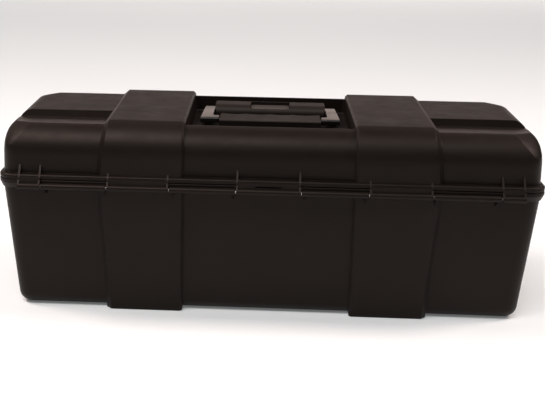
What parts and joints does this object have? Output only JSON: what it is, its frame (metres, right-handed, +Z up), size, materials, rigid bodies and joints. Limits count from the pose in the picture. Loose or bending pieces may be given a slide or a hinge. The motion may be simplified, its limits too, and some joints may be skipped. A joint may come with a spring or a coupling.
{
  "type": "toolbox with tray",
  "caption": "Long hip-roof plastic toolbox with raised bands and skid feet, a hinged lid with a folding carrying handle in a well, snap latches and a lift-out divided tray.",
  "frame": {"origin": "middle of the footprint on the surface that the feet stand on", "axes": "+X along the length, +Z up, hinge side at +Y, latch side at -Y"},
  "size_m": [0.66, 0.2874, 0.2378],
  "materials": {
    "shell": "fine moulded grain",
    "grip": "satin moulded",
    "plate": "satin, bare",
    "gloss": "polished moulded",
    "tray": "fine moulded grain",
    "steel": "zinc plated"
  },
  "bodies": {
    "base": {"body_shell": "shell", "hinge_pin": "steel"},
    "lid": {"lid_shell": "shell", "handle_mount_block": "grip", "handle_mount_screws": "steel", "handle_pivot_pin_left": "steel", "handle_pivot_pin_right": "steel", "latch_pin_left": "steel", "latch_pin_right": "steel"},
    "handle": {"handle_grip": "grip", "grip_plate": "plate", "handle_arm_left": "gloss", "handle_arm_right": "gloss", "handle_arm_screws": "steel"},
    "latch_left": {"latch_left": "grip"},
    "latch_right": {"latch_right": "grip"},
    "tray": {"tray_shell": "tray", "tray_handle": "grip", "tray_divider_front_left": "tray", "tray_divider_front_right": "tray", "tray_divider_rear_left": "tray", "tray_divider_rear_right": "tray"}
  },
  "joints": [
    {"name": "lid_hinge", "type": "hinge", "parent": "base", "child": "lid", "pos_m": [0, 0.1399, 0.1615], "axis": [-1, 0, 0], "range_deg": [0, 100]},
    {"name": "handle_fold", "type": "hinge", "parent": "lid", "child": "handle", "pos_m": [0, 0.0095, 0.222], "axis": [-1, 0, 0], "range_deg": [0, 95]},
    {"name": "latch_left_swing", "type": "hinge", "parent": "lid", "child": "latch_left", "pos_m": [-0.1505, -0.1387, 0.197], "axis": [-1, 0, 0], "range_deg": [0, 110]},
    {"name": "latch_right_swing", "type": "hinge", "parent": "lid", "child": "latch_right", "pos_m": [0.1505, -0.1387, 0.197], "axis": [-1, 0, 0], "range_deg": [0, 110]},
    {"name": "tray_lift", "type": "slide", "parent": "base", "child": "tray", "axis": [0, 0, 1], "range_m": [0, 0.044]}
  ]
}
